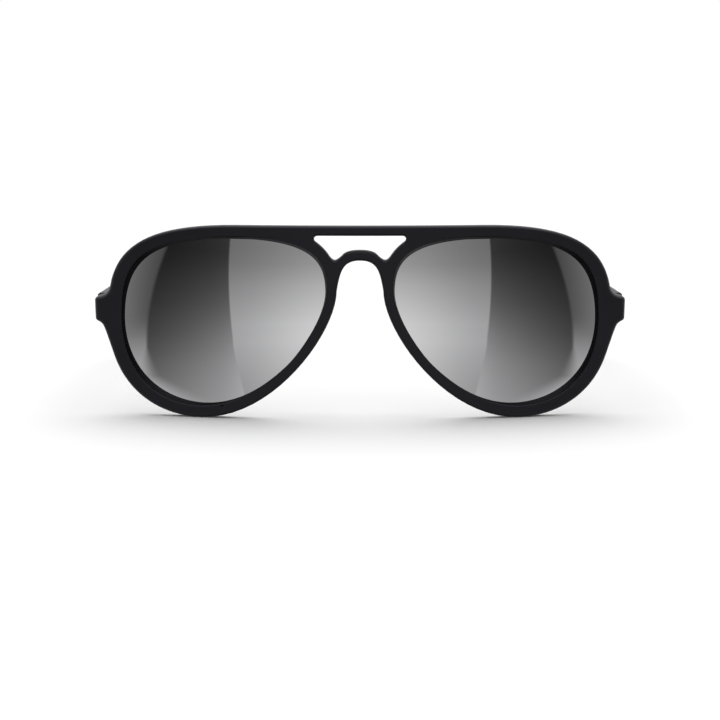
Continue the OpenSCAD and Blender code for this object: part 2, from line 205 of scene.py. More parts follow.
def loop_knots(nose, top, side, bottom):
    """A rim's loop through its four extremes, each rim width stretching the curve's handles."""
    x0, x1, z0, z1 = lens_x0 - nose, lens_x1 + side, lens_z0 - bottom, lens_z1 + top
    pull = 0.55
    return [
        ((x0, nose_z), (x0, nose_z - 0.29 * (nose_z - lens_z0) - pull * bottom),
         (x0, nose_z + 0.47 * (lens_z1 - nose_z) + pull * top)),
        ((top_x, z1), (top_x - 0.95 * (top_x - lens_x0) - pull * nose, z1),
         (top_x + 0.9 * (lens_x1 - top_x) + pull * side, z1)),
        ((x1, side_z), (x1, side_z + 0.62 * (lens_z1 - side_z) + pull * top),
         (x1, side_z - 0.7 * (side_z - lens_z0) - pull * bottom)),
        ((bottom_x, z0), (bottom_x + 0.51 * (lens_x1 - bottom_x) + pull * side, z0),
         (bottom_x - 0.54 * (bottom_x - lens_x0) - pull * nose, z0)),
    ]


def halfway(a, b, t):
    return tuple(p + (q - p) * t for p, q in zip(a, b))


def cut_curve(first, second, t):
    """Cuts the curve between two knots at t: the first knot's new handle, the cut, the second's."""
    a, b, c = (
        halfway(first[0], first[2], t),
        halfway(first[2], second[1], t),
        halfway(second[1], second[0], t),
    )
    ab, bc = halfway(a, b, t), halfway(b, c, t)
    return a, (halfway(ab, bc, t), ab, bc), c


def mirrored(knots):
    def flip(p):
        return (-p[0], p[1])
    return [(flip(at), flip(ahead), flip(back)) for at, back, ahead in reversed(knots)]


def draw_outline(name, knots):
    """A closed curve, drawn knot by knot on the ground plane, x across and y up."""
    bpy.ops.object.select_all(action="DESELECT")
    bpy.ops.curve.primitive_bezier_circle_add(radius=lens_gap)
    outline = bpy.context.object
    outline.name = name
    points = outline.data.splines[0].bezier_points
    points.add(len(knots) - len(points))
    for point, (at, back, ahead) in zip(points, knots):
        point.handle_left_type = point.handle_right_type = "FREE"
        point.co = (*at, 0)
        point.handle_left = (*back, 0)
        point.handle_right = (*ahead, 0)
    return outline


def front_outline():
    """The outer outline: rims, end pieces with their blends, and the underside of the arch."""
    nose, top, side, bottom = loop_knots(rim_nose, rim_top, rim_side, rim_bottom)
    corner = 0.9 * mm
    lug_top, lug_low = lug_z + lug_h / 2, lug_z - lug_h / 2
    round_off = 0.55 * corner
    top_out, upper, _ = cut_curve(top, side, 0.80)
    _, lower, bottom_in = cut_curve(side, bottom, 0.22)
    reach = 1.7 * mm

    def along(knot, sign):
        way = Vector(knot[2]) - Vector(knot[1])
        return tuple(Vector(knot[0]) + sign * reach * way.normalized())

    half = [
        (top[0], (top[0][0] - 10 * mm, top[0][1]), top_out),
        (upper[0], upper[1], along(upper, 1)),
        ((lug_x - 2.2 * mm, lug_top + 0.05 * mm), (lug_x - 3.3 * mm, lug_top + 0.45 * mm),
         (lug_x - 1.8 * mm, lug_top - 0.1 * mm)),
        ((lug_x - corner, lug_top - 0.3 * mm), (lug_x - corner - 0.3 * mm, lug_top - 0.25 * mm),
         (lug_x - corner + round_off, lug_top - 0.4 * mm)),
        ((lug_x, lug_top - 1.3 * mm), (lug_x, lug_top - 0.9 * mm), (lug_x, lug_top - 2 * mm)),
        ((lug_x - 0.15 * mm, lug_low + corner), (lug_x - 0.08 * mm, lug_low + 2 * corner),
         (lug_x - 0.2 * mm, lug_low + corner - round_off)),
        ((lug_x - 1.0 * mm, lug_low), (lug_x - 0.6 * mm, lug_low + 0.2 * mm),
         (lug_x - 1.3 * mm, lug_low - 0.15 * mm)),
        ((lug_x - 2.1 * mm, lug_low - 0.75 * mm), (lug_x - 1.7 * mm, lug_low - 0.35 * mm),
         (lug_x - 2.9 * mm, lug_low - 1.6 * mm)),
        (lower[0], along(lower, -1), lower[2]),
        (bottom[0], bottom_in, bottom[2]),
        (nose[0], nose[1], (nose[0][0] - 0.95 * mm, nose[0][1] + 5.5 * mm)),
    ]
    arch_low = 44.3 * mm
    arch_pull = 0.73 * nose[0][0]
    middle = [((0, arch_low), (arch_pull, arch_low), (-arch_pull, arch_low))]
    return draw_outline("outer_outline", half + middle + mirrored(half))


def bridge_gap_outline():
    """The open gap between the brow bar and the arch, with a rounded dip on each side."""
    half = [
        ((11.6, 51.1), (8.0, 51.1), (12.2, 51.1)),
        ((12.65, 50.15), (12.65, 50.7), (12.65, 49.8)),
        ((12.0, 49.25), (12.35, 49.5), (10.9, 48.45)),
        ((8.6, 45.75), (9.5, 47.15), (8.05, 44.9)),
        ((6.95, 44.38), (7.45, 44.38), (6.4, 44.38)),
        ((4.7, 45.9), (5.5, 45.05), (3.85, 46.8)),
    ]
    half = [tuple((x * mm, z * mm) for x, z in knot) for knot in half]
    arch_top = 47.12 * mm
    middle = [((0, arch_top), (2.0 * mm, arch_top), (-2.0 * mm, arch_top))]
    return draw_outline("bridge_gap_outline", half + middle + mirrored(half))


def smooth_step(t):
    t = min(1, max(0, t))
    return t * t * (3 - 2 * t)


def face_y(x):
    """How far the front's outer face curves back at x from the middle."""
    return front_r - math.sqrt(front_r ** 2 - x ** 2)


def select_only(*objects):
    bpy.ops.object.select_all(action="DESELECT")
    for thing in objects:
        thing.select_set(True)
    bpy.context.view_layer.objects.active = objects[0]


def stand_up(outline):
    """Turns a flat outline into a mesh that stands on the x axis and faces -Y."""
    select_only(outline)
    outline.rotation_euler = (math.pi / 2, 0, 0)
    bpy.ops.object.convert(target="MESH")
    bpy.ops.object.transform_apply(location=True, rotation=True, scale=True)
    return bpy.context.object


def apply_all(piece):
    select_only(piece)
    for modifier in list(piece.modifiers):
        bpy.ops.object.modifier_apply(modifier=modifier.name)


def even_shading(piece, angle=35):
    """Smooth over the rounded edges, with the flats kept flat."""
    select_only(piece)
    bpy.ops.object.shade_smooth_by_angle(angle=math.radians(angle))
    weight = piece.modifiers.new("even_normals", "WEIGHTED_NORMAL")
    weight.keep_sharp = True
    apply_all(piece)


def clear_selection(piece):
    """Leaves nothing selected in a piece's mesh, so that code can pick what it needs."""
    select_only(piece)
    bpy.ops.object.mode_set(mode="EDIT")
    bpy.ops.mesh.select_all(action="DESELECT")
    bpy.ops.object.mode_set(mode="OBJECT")


def solid_outline(outline, y0, y1):
    """A prism with that outline, from y0 to y1."""
    flat = outline.data
    flat.dimensions = "2D"
    flat.fill_mode = "BOTH"
    flat.resolution_u = 24
    flat.extrude = (y1 - y0) / 2
    prism = stand_up(outline)
    select_only(prism)
    bpy.ops.object.mode_set(mode="EDIT")
    bpy.ops.mesh.select_all(action="SELECT")
    bpy.ops.mesh.remove_doubles(threshold=0.001 * mm)
    bpy.ops.mesh.normals_make_consistent(inside=False)
    bpy.ops.object.mode_set(mode="OBJECT")
    for vertex in prism.data.vertices:
        vertex.co.y += (y0 + y1) / 2
    return prism


def cut_with(piece, tool, operation):
    """Cuts a piece with a tool, and takes the tool away."""
    cut = piece.modifiers.new("cut", "BOOLEAN")
    cut.operation = operation
    cut.solver = "EXACT"
    cut.object = tool
    apply_all(piece)
    bpy.data.objects.remove(tool)


def ease_lens_rims(front):
    """Takes the sharpness off the lens openings' edges, front and back."""
    clear_selection(front)
    mesh = front.data
    upright = {
        tuple(sorted(key))
        for face in mesh.polygons
        if abs(face.normal.y) < 0.3
        for key in face.edge_keys
    }
    for edge in mesh.edges:
        ends = [mesh.vertices[i].co for i in edge.vertices]
        on_face = all(abs(abs(end.y) - front_t / 2) < 0.001 * mm for end in ends)
        edge.select = on_face and tuple(sorted(edge.vertices)) in upright
    bpy.ops.object.mode_set(mode="EDIT")
    bpy.ops.mesh.select_mode(type="EDGE")
    bpy.ops.mesh.bevel(offset=lens_rim_r, segments=3)
    bpy.ops.mesh.select_mode(type="VERT")
    bpy.ops.object.mode_set(mode="OBJECT")


def make_front():
    outer = front_outline()
    select_only(outer, bridge_gap_outline())
    bpy.ops.object.join()
    flat = outer.data
    flat.dimensions = "2D"
    flat.fill_mode = "BOTH"
    flat.resolution_u = 20
    flat.offset = -edge_r
    flat.extrude = front_t / 2 - edge_r
    flat.bevel_depth = edge_r
    flat.bevel_resolution = 3
    front = stand_up(outer)
    select_only(front)
    bpy.ops.object.mode_set(mode="EDIT")
    bpy.ops.mesh.select_all(action="SELECT")
    bpy.ops.mesh.remove_doubles(threshold=0.01 * mm)
    bpy.ops.mesh.normals_make_consistent(inside=False)
    bpy.ops.object.mode_set(mode="OBJECT")
    front.name = "front"
    opening = loop_knots(0, 0, 0, 0)
    for knots in (opening, mirrored(opening)):
        opening_tool = solid_outline(draw_outline("opening", knots), -front_t, front_t)
        cut_with(front, opening_tool, "DIFFERENCE")
    ease_lens_rims(front)
    select_only(front)
    bpy.ops.object.mode_set(mode="EDIT")
    for i in range(-strips_each_side, strips_each_side + 1):
        bpy.ops.mesh.select_all(action="SELECT")
        bpy.ops.mesh.bisect(
            plane_co=(i * strip_w, 0, 0),
            plane_no=(1, 0, 0),
            threshold=0.0001 * mm,
        )
    bpy.ops.object.mode_set(mode="OBJECT")
    for vertex in front.data.vertices:
        x, y, z = vertex.co
        depth = (y + front_t / 2) / front_t
        thin_back = face_y(x) + front_t
        beside = smooth_step((abs(x) - lens_x1 + 0.5 * mm) / (4.2 * mm))
        level = smooth_step((9.0 * mm - abs(z - lug_z)) / (5.0 * mm))
        back = thin_back + (butt_y - front_y - thin_back) * beside * level
        vertex.co.y = front_y + face_y(x) + depth * (back - face_y(x))
    return front


def add_block(centre, size):
    bpy.ops.object.select_all(action="DESELECT")
    bpy.ops.mesh.primitive_cube_add(size=1, location=centre, scale=size)
    bpy.ops.object.transform_apply(location=True, rotation=True, scale=True)
    return bpy.context.object


front = make_front()
for side in (1, -1):
    hinge_seat = add_block((side * pin_x, butt_y, lug_z), (3.1 * mm, 1.7 * mm, 6.3 * mm))
    cut_with(front, hinge_seat, "DIFFERENCE")
even_shading(front)
front.data.materials.append(plastic)
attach(front, "front")
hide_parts("front_frame")

# ---- Lenses
# Two cuts from an 88 mm sphere of grey mineral glass, 2 mm thick, held in grooves in the rims.
# A silver mirror is laid on the outside only, densest near the nose; the inside is dark.
lens_r = 88 * mm
lens_t = 2 * mm
lens_set = 1.1 * mm
groove_grip = 0.85 * mm
cap_angle = math.radians(27.5)


def silver_mirror():
    """The mirror coat: silver that thins from the nose outwards, with a trace of unevenness."""
    material, tree, shader = new_material("silver_mirror")
    place = tree.nodes.new("ShaderNodeTexCoord")
    split = tree.nodes.new("ShaderNodeSeparateXYZ")
    link(tree, place.outputs["Object"], split.inputs["Vector"])
    across = tree.nodes.new("ShaderNodeMath")
    across.operation = "ABSOLUTE"
    link(tree, split.outputs["X"], across.inputs[0])
    density = tree.nodes.new("ShaderNodeMapRange")
    density.interpolation_type = "SMOOTHSTEP"
    density.inputs["From Min"].default_value = lens_x0 - 5 * mm
    density.inputs["From Max"].default_value = lens_x0 + 31 * mm
    link(tree, across.outputs[0], density.inputs["Value"])
    shade = mix_colours(tree, density.outputs["Result"], (0.95, 0.95, 0.96), (0.50, 0.50, 0.51))
    cloud = tree.nodes.new("ShaderNodeTexNoise")
    cloud.inputs["Scale"].default_value = 45
    cloud.inputs["Detail"].default_value = 3
    link(tree, place.outputs["Object"], cloud.inputs["Vector"])
    link(tree, shade, shader.inputs["Base Color"])
    link(tree, spread(tree, cloud.outputs["Fac"], 0.02, 0.045), shader.inputs["Roughness"])
    shader.inputs["Metallic"].default_value = 1
    return material


def dark_tint():
    """The bare inner face: deep grey polish, slightly browner where the tint is thicker."""
    material, tree, shader = new_material("dark_tint")
    place = tree.nodes.new("ShaderNodeTexCoord")
    split = tree.nodes.new("ShaderNodeSeparateXYZ")
    link(tree, place.outputs["Object"], split.inputs["Vector"])
    depth = tree.nodes.new("ShaderNodeMapRange")
    depth.inputs["From Min"].default_value = lens_z0
    depth.inputs["From Max"].default_value = lens_z1
    link(tree, split.outputs["Z"], depth.inputs["Value"])
    low_tint, high_tint = (0.030, 0.029, 0.028), (0.010, 0.010, 0.011)
    shade = mix_colours(tree, depth.outputs["Result"], low_tint, high_tint)
    cloud = tree.nodes.new("ShaderNodeTexNoise")
    cloud.inputs["Scale"].default_value = 60
    link(tree, place.outputs["Object"], cloud.inputs["Vector"])
    link(tree, shade, shader.inputs["Base Color"])
    link(tree, spread(tree, cloud.outputs["Fac"], 0.04, 0.07), shader.inputs["Roughness"])
    return material


mirror_coat = silver_mirror()
tint = dark_tint()


def lens_ball_middle():
    """Middle of the sphere that the left lens is cut from, and the lens's turn to the side."""
    step_back = face_y(lens_x1) - face_y(lens_x0)
    wrap = math.atan(step_back / lens_w)
    half_chord = math.hypot(lens_w, step_back) / 2
    reach = lens_set + math.sqrt(lens_r ** 2 - half_chord ** 2)
    middle = Vector((
        (lens_x0 + lens_x1) / 2 - reach * math.sin(wrap),
        front_y + (face_y(lens_x0) + face_y(lens_x1)) / 2 + reach * math.cos(wrap),
        (lens_z0 + lens_z1) / 2,
    ))
    return middle, wrap


def make_lens(name, node, side):
    middle, wrap = lens_ball_middle()
    bpy.ops.object.select_all(action="DESELECT")
    bpy.ops.mesh.primitive_uv_sphere_add(
        segments=192,
        ring_count=180,
        radius=lens_r,
        location=(side * middle.x, middle.y, middle.z),
        rotation=(math.pi / 2, 0, side * wrap),
    )
    lens = bpy.context.object
    lens.name = name
    bpy.ops.object.transform_apply(location=True, rotation=True, scale=True)
    outward = Vector((side * math.sin(wrap), -math.cos(wrap), 0))
    centre = Vector((side * middle.x, middle.y, middle.z))
    clear_selection(lens)
    for vertex in lens.data.vertices:
        vertex.select = (vertex.co - centre).angle(outward) > cap_angle
    bpy.ops.object.mode_set(mode="EDIT")
    bpy.ops.mesh.delete(type="VERT")
    bpy.ops.object.mode_set(mode="OBJECT")
    wall = lens.modifiers.new("wall", "SOLIDIFY")
    wall.thickness = lens_t
    wall.offset = -1
    apply_all(lens)
    knots = loop_knots(groove_grip, groove_grip, groove_grip, groove_grip)
    outline = draw_outline("lens_blank", knots if side > 0 else mirrored(knots))
    cut_with(lens, solid_outline(outline, front_y - 5 * mm, front_y + 30 * mm), "INTERSECT")
    lens.data.materials.clear()
    lens.data.materials.append(mirror_coat)
    lens.data.materials.append(tint)
    for face in lens.data.polygons:
        ray = (face.center - centre).normalized()
        face.material_index = 0 if face.normal.dot(ray) > 0.5 else 1
    select_only(lens)
    bpy.ops.object.shade_smooth_by_angle(angle=math.radians(30))
    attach(lens, "front")
    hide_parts(node)


make_lens("left_lens_mirror", "left_lens", 1)
make_lens("right_lens_mirror", "right_lens", -1)

# ---- Arms
# Two nylon arms, moulded round a steel strip. Each starts as tall as the end piece, thins
# along its length, and ends in a tongue inside the soft tip.
butt_gap = 0.15 * mm
pin_y = butt_y + 1.65 * mm
arm_in_x = pin_x + 1.65 * mm
arm_len = 88 * mm
arm_t = 3.75 * mm
arm_end_t = 3 * mm
arm_end_h = 4.8 * mm
arm_corner = 0.75 * mm
arm_crown = 0.3 * mm
bow_at = 60 * mm
bow_r = 600 * mm
bend_r = 32 * mm
arm_slope = 0
hook_slope = math.radians(40)
tip_lead = 4 * mm
tip_start = arm_len - tip_lead
tongue_len = 5 * mm
tip_end_h = 6.8 * mm

arm_plastic = grained(
    "arm_plastic",
    dark=(0.0140, 0.0137, 0.0188),
    light=(0.0170, 0.0165, 0.0225),
    gloss=(0.42, 0.50),
    grain_scale=4200,
    depth=0.00003,
)


def up(slope):
    return Vector((math.sin(slope), math.cos(slope)))


def way(slope):
    return Vector((math.cos(slope), -math.sin(slope)))


bend_start = Vector((butt_y, lug_z)) + arm_len * way(arm_slope)
bend_centre = bend_start - bend_r * up(arm_slope)
bend_end = bend_centre + bend_r * up(hook_slope)
bend_len = bend_r * (hook_slope - arm_slope)
line_len = arm_len + bend_len + (bend_end.y - tip_end_h / 2) / math.sin(hook_slope)


def middle_line(s):
    """The arm's middle line seen from the side: its place (y, z) and its slope at length s."""
    if s < arm_len:
        return Vector((butt_y, lug_z)) + s * way(arm_slope), arm_slope
    if s < arm_len + bend_len:
        slope = arm_slope + (s - arm_len) / bend_r
        return bend_centre + bend_r * up(slope), slope
    return bend_end + (s - arm_len - bend_len) * way(hook_slope), hook_slope


def arm_thickness(y):
    return arm_t - (arm_t - arm_end_t) * smooth_step((y - butt_y) / bow_at)


def arm_mid_x(y):
    """The arm runs straight back, then bows gently in towards the head."""
    past = max(0, y - butt_y - bow_at)
    return arm_in_x - past ** 2 / (2 * bow_r) + arm_thickness(y) / 2


corner_steps, flat_steps = 8, 5


def round_section(k, half_t, half_h, corner):
    """Point k of a rounded rectangle: eight steps round each corner and five along each flat."""
    quarter, step = divmod(k, corner_steps + flat_steps)
    signs = ((1, 1), (-1, 1), (-1, -1), (1, -1))

    def on_corner(which, part):
        angle = math.radians(90) * (which + part)
        sx, sz = signs[which % 4]
        return Vector((
            sx * (half_t - corner) + corner * math.cos(angle),
            sz * (half_h - corner) + corner * math.sin(angle),
        ))

    if step <= corner_steps:
        return on_corner(quarter, step / corner_steps)
    part = (step - corner_steps) / flat_steps
    return on_corner(quarter, 1).lerp(on_corner(quarter + 1, 0), part)


def loft(name, rings, mid_x):
    """A closed bar through rings of (place, slope, half thickness, half height, corner, crown)."""
    around = 4 * (corner_steps + flat_steps)
    bpy.ops.object.select_all(action="DESELECT")
    bpy.ops.mesh.primitive_grid_add(x_subdivisions=around, y_subdivisions=len(rings) - 1, size=2)
    bar = bpy.context.object
    bar.name = name
    for vertex in bar.data.vertices:
        k = round((vertex.co.x + 1) / 2 * around) % around
        place, slope, half_t, half_h, corner, crown = rings[
            round((vertex.co.y + 1) / 2 * (len(rings) - 1))
        ]
        across, tall = round_section(k, half_t, half_h, corner)
        y, z = place + tall * up(slope)
        if across > 0:
            across -= crown * (tall / half_h) ** 2
        vertex.co = (mid_x(y) + across, y, z)
    select_only(bar)
    bpy.ops.object.mode_set(mode="EDIT")
    bpy.ops.mesh.select_all(action="SELECT")
    bpy.ops.mesh.remove_doubles(threshold=0.001 * mm)
    bpy.ops.mesh.fill_holes(sides=0)
    bpy.ops.mesh.select_all(action="SELECT")
    bpy.ops.mesh.normals_make_consistent(inside=False)
    bpy.ops.object.mode_set(mode="OBJECT")
    return bar


def rounding(radius, steps=4):
    """How far in from an end each ring lies, and how much smaller it is there."""
    angles = [math.pi / 2 * i / steps for i in range(steps + 1)]
    return [(radius * (1 - math.cos(a)), radius * (1 - math.sin(a))) for a in angles]


def evenly(first, last, count):
    return [first + (last - first) * i / count for i in range(count + 1)]


def arm_height(s):
    return lug_h - (lug_h - arm_end_h) * smooth_step(s / arm_len)


def arm_rings():
    rings = []
    ends = [(butt_gap + d, less) for d, less in rounding(0.35 * mm)]
    body = [(s, 0) for s in evenly(1.2 * mm, tip_start + tongue_len, 46)]
    for s, less in ends + body:
        place, slope = middle_line(s)
        settled = smooth_step(s / (8 * mm))
        half_t = arm_thickness(place.x) / 2 - less
        half_h = arm_height(s) / 2 - less
        rings.append((place, slope * settled, half_t, half_h, arm_corner, arm_crown * settled))
    return rings


def mirror_copy(piece, name):
    """The same piece for the other side, with its own mesh."""
    select_only(piece)
    bpy.ops.object.duplicate()
    twin = bpy.context.object
    twin.name = name
    twin.scale.x = -1
    bpy.ops.object.transform_apply(location=True, rotation=True, scale=True)
    bpy.ops.object.mode_set(mode="EDIT")
    bpy.ops.mesh.select_all(action="SELECT")
    bpy.ops.mesh.normals_make_consistent(inside=False)
    bpy.ops.object.mode_set(mode="OBJECT")
    return twin


left_arm = loft("left_arm_bar", arm_rings(), arm_mid_x)
leaf_seat = add_block(
    (arm_in_x, pin_y + 3.5 * mm, lug_z),
    (2 * 0.85 * mm, 10.1 * mm, 3.9 * mm),
)
cut_with(left_arm, leaf_seat, "DIFFERENCE")
even_shading(left_arm)
left_arm.data.materials.append(arm_plastic)
right_arm = mirror_copy(left_arm, "right_arm_bar")
for arm, side in ((left_arm, "left"), (right_arm, "right")):
    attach(arm, f"{side}_arm_assembly")
    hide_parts(f"{side}_arm")

# ---- Arm tips
# Soft rubber sleeves, moulded separately and pushed over the tongues. They are fatter than the
# arms, ribbed where they hook behind the ear, and drilled near the end for a cord.
tip_t = 4.4 * mm
tip_start_h = 5.6 * mm
tip_corner = 1.6 * mm
tip_crown = 0.25 * mm
cord_hole_r = 1.1 * mm
cord_hole_at = 4.2 * mm
cord_flare = 0.45 * mm
rib_pitch = 1.9 * mm
rib_depth = 0.22 * mm
rib_start = arm_len + 3 * mm
rib_end = rib_start + 9 * rib_pitch

tip_rubber = grained(
    "tip_rubber",
    dark=(0.0105, 0.0105, 0.0115),
    light=(0.0150, 0.0148, 0.0160),
    gloss=(0.62, 0.74),
    grain_scale=2600,
    depth=0.00004,
)


def tip_rings():
    rings = []
    ends = [(tip_start + 0.05 * mm + d, less) for d, less in rounding(0.6 * mm)]
    smooth_part = [(s, 0) for s in evenly(tip_start + 1.2 * mm, rib_start - 0.4 * mm, 6)]
    ribbed = []
    for s in evenly(rib_start, rib_end, 72):
        wave = 0.5 - 0.5 * math.cos(2 * math.pi * (s - rib_start) / rib_pitch)
        ribbed.append((s, rib_depth * wave ** 2))
    far_part = [(s, 0) for s in evenly(rib_end + 0.5 * mm, line_len, 14)]
    for s, less in ends + smooth_part + ribbed + far_part:
        place, slope = middle_line(s)
        grown = smooth_step((s - tip_start) / (line_len - tip_start))
        half_h = (tip_start_h + (tip_end_h - tip_start_h) * grown) / 2 - less
        rings.append((place, slope, tip_t / 2 - less, half_h, tip_corner - less, tip_crown))
    end_r = tip_end_h / 2
    for angle in evenly(0, math.radians(88), 14)[1:]:
        place, slope = middle_line(line_len)
        height = end_r * math.cos(angle)
        thickness = tip_t / 2 * math.cos(angle) ** 0.45
        corner = min(tip_corner, 0.92 * height, 0.92 * thickness)
        spot = place + end_r * math.sin(angle) * way(slope)
        rings.append((spot, slope, thickness, height, corner, tip_crown))
    return rings


def add_cord_drill(centre_x, spot):
    """A drill with a flare at each face, so that the hole's rims are eased."""
    bpy.ops.object.select_all(action="DESELECT")
    bpy.ops.mesh.primitive_cylinder_add(
        vertices=48,
        radius=cord_hole_r,
        depth=9 * mm,
        location=(centre_x, spot.x, spot.y),
        rotation=(0, math.pi / 2, 0),
    )
    drill = bpy.context.object
    bpy.ops.object.transform_apply(location=True, rotation=True, scale=True)
    bpy.ops.object.mode_set(mode="EDIT")
    for offset in (-tip_t / 2 + cord_flare, tip_t / 2 - cord_flare):
        bpy.ops.mesh.select_all(action="SELECT")
        bpy.ops.mesh.bisect(plane_co=(centre_x + offset, 0, 0), plane_no=(1, 0, 0))
    bpy.ops.object.mode_set(mode="OBJECT")
    for vertex in drill.data.vertices:
        out = abs(vertex.co.x - centre_x)
        if out > tip_t / 2:
            grow = 1 + (out - (tip_t / 2 - cord_flare)) / cord_hole_r
            vertex.co.y = spot.x + (vertex.co.y - spot.x) * grow
            vertex.co.z = spot.y + (vertex.co.z - spot.y) * grow
    return drill


left_tip = loft("left_tip_sleeve", tip_rings(), arm_mid_x)
cord_spot = middle_line(line_len)[0] + (tip_end_h / 2 - cord_hole_at) * way(hook_slope)
cut_with(left_tip, add_cord_drill(arm_mid_x(cord_spot.x), cord_spot), "DIFFERENCE")
even_shading(left_tip, 50)
left_tip.data.materials.append(tip_rubber)
right_tip = mirror_copy(left_tip, "right_tip_sleeve")
for tip, side in ((left_tip, "left"), (right_tip, "right")):
    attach(tip, f"{side}_arm_assembly")
    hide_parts(f"{side}_arm_tip")

# ---- Nose pads
# Soft rubber pads, pressed over thin fins at the back of the rims. Each is a rounded paddle,
# dished slightly where it rests on the nose.
pad_root = Vector((13.7247 * mm, 0, 21.3166 * mm))
pad_tilt = math.radians(-34.338)
pad_splay = math.radians(8)
pad_t = 2.4 * mm
pad_depth = 7 * mm
pad_len = 15 * mm

pad_rubber = grained(
    "nose_pad_rubber",
    dark=(0.0100, 0.0100, 0.0105),
    light=(0.0140, 0.0140, 0.0146),
    gloss=(0.50, 0.60),
    grain_scale=3000,
    depth=0.00003,
)


def signed_power(value, power):
    return math.copysign(abs(value) ** power, value)


def make_pad():
    bpy.ops.object.select_all(action="DESELECT")
    bpy.ops.mesh.primitive_uv_sphere_add(segments=72, ring_count=48, radius=1)
    pad = bpy.context.object
    pad.name = "left_nose_pad_rubber"
    back_y = front_y + face_y(pad_root.x) + front_t
    turn = Matrix.Rotation(pad_tilt, 3, "Y") @ Matrix.Rotation(-pad_splay, 3, "Z")
    reach = (pad_depth + 2.5 * mm) / 2
    for vertex in pad.data.vertices:
        x, y, z = (signed_power(value, 0.62) for value in vertex.co)
        longer = max(1, math.hypot(y, z) ** 0.5 if y or z else 1)
        spot = Vector((x * pad_t / 2, y / longer * reach, z / longer * pad_len / 2))
        dish = 0.35 * mm * (1 - min(1, (spot.y / reach) ** 2 + (2 * spot.z / pad_len) ** 2))
        if x < 0:
            spot.x += dish
        spot.y += pad_depth - reach
        vertex.co = Vector((pad_root.x, back_y, pad_root.z)) + turn @ spot
    bpy.ops.object.select_all(action="DESELECT")
    bpy.ops.mesh.primitive_cylinder_add(
        vertices=720,
        radius=front_r - front_t - 0.05 * mm,
        depth=0.12,
        location=(0, front_y + front_r, lug_z),
    )
    rim_back = bpy.context.object
    bpy.ops.object.transform_apply(location=True, rotation=True, scale=True)
    cut_with(pad, rim_back, "INTERSECT")
    even_shading(pad, 40)
    pad.data.materials.clear()
    pad.data.materials.append(pad_rubber)
    return pad


left_pad = make_pad()
right_pad = mirror_copy(left_pad, "right_nose_pad_rubber")
for pad, side in ((left_pad, "left"), (right_pad, "right")):
    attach(pad, "front")
    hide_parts(f"{side}_nose_pad")

# ---- Hinges, screws, rivets and core strips
# Five-barrel hinges of pressed stainless steel, brushed lengthways. The screws and rivets are
# turned from brighter bar, and the core strips are plain rolled spring steel.
def drawn_metal_group():
    """Fine parallel scratches: noise squeezed along one way, with slower patches of haze."""
    group, given, result = new_group(
        "drawn_metal",
        {"Across X": 1, "Across Y": 1, "Across Z": 1, "Scale": 2000},
        {"Scratches": "NodeSocketFloat", "Haze": "NodeSocketFloat"},
    )
    place = group.nodes.new("ShaderNodeTexCoord")
    stretch = group.nodes.new("ShaderNodeCombineXYZ")
    for axis in "XYZ":
        link(group, given.outputs[f"Across {axis}"], stretch.inputs[axis])
    spun = group.nodes.new("ShaderNodeVectorMath")
    spun.operation = "MULTIPLY"
    link(group, place.outputs["Object"], spun.inputs[0])
    link(group, stretch.outputs["Vector"], spun.inputs[1])
    scratches = group.nodes.new("ShaderNodeTexNoise")
    scratches.inputs["Detail"].default_value = 3
    link(group, spun.outputs["Vector"], scratches.inputs["Vector"])
    link(group, given.outputs["Scale"], scratches.inputs["Scale"])
    haze = group.nodes.new("ShaderNodeTexNoise")
    haze.inputs["Scale"].default_value = 400
    link(group, place.outputs["Object"], haze.inputs["Vector"])
    link(group, scratches.outputs["Fac"], result.inputs["Scratches"])
    link(group, haze.outputs["Fac"], result.inputs["Haze"])
    return group


drawn_metal = drawn_metal_group()


def brushed(name, dark, light, gloss, across, scale=2000):
    """Bare metal, brushed along one way. across is how fast the scratches change each way."""
    material, tree, shader = new_material(name)
    finish = tree.nodes.new("ShaderNodeGroup")
    finish.node_tree = drawn_metal
    for axis, amount in zip("XYZ", across):
        finish.inputs[f"Across {axis}"].default_value = amount
    finish.inputs["Scale"].default_value = scale
    bump = tree.nodes.new("ShaderNodeBump")
    bump.inputs["Strength"].default_value = 0.2
    bump.inputs["Distance"].default_value = 0.00001
    shade = mix_colours(tree, spread(tree, finish.outputs["Haze"], 0, 1), dark, light)
    link(tree, shade, shader.inputs["Base Color"])
    link(tree, spread(tree, finish.outputs["Scratches"], *gloss), shader.inputs["Roughness"])
    link(tree, finish.outputs["Scratches"], bump.inputs["Height"])
    link(tree, bump.outputs["Normal"], shader.inputs["Normal"])
    shader.inputs["Metallic"].default_value = 1
    return material


def finish_nodes(finish, *names):
    """Gives a frame node, whose shape is right as it is, its real finish."""
    for name in names:
        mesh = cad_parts[name].data
        mesh.materials.clear()
        mesh.materials.append(finish)


hinge_steel = brushed(
    "hinge_steel", (0.50, 0.50, 0.51), (0.60, 0.60, 0.60), (0.26, 0.40), (1, 0.05, 1)
)
screw_steel = brushed(
    "screw_steel", (0.62, 0.62, 0.62), (0.72, 0.71, 0.70), (0.16, 0.28), (1, 1, 0.1), 3000
)
core_steel = brushed(
    "core_steel", (0.36, 0.37, 0.38), (0.46, 0.46, 0.46), (0.32, 0.48), (1, 0.03, 0.4)
)
for side in ("left", "right"):
    finish_nodes(hinge_steel, f"{side}_front_hinge_leaf", f"{side}_arm_hinge_leaf")
    finish_nodes(screw_steel, f"{side}_hinge_screw", f"{side}_arm_rivets")
    finish_nodes(core_steel, f"{side}_core_strip")

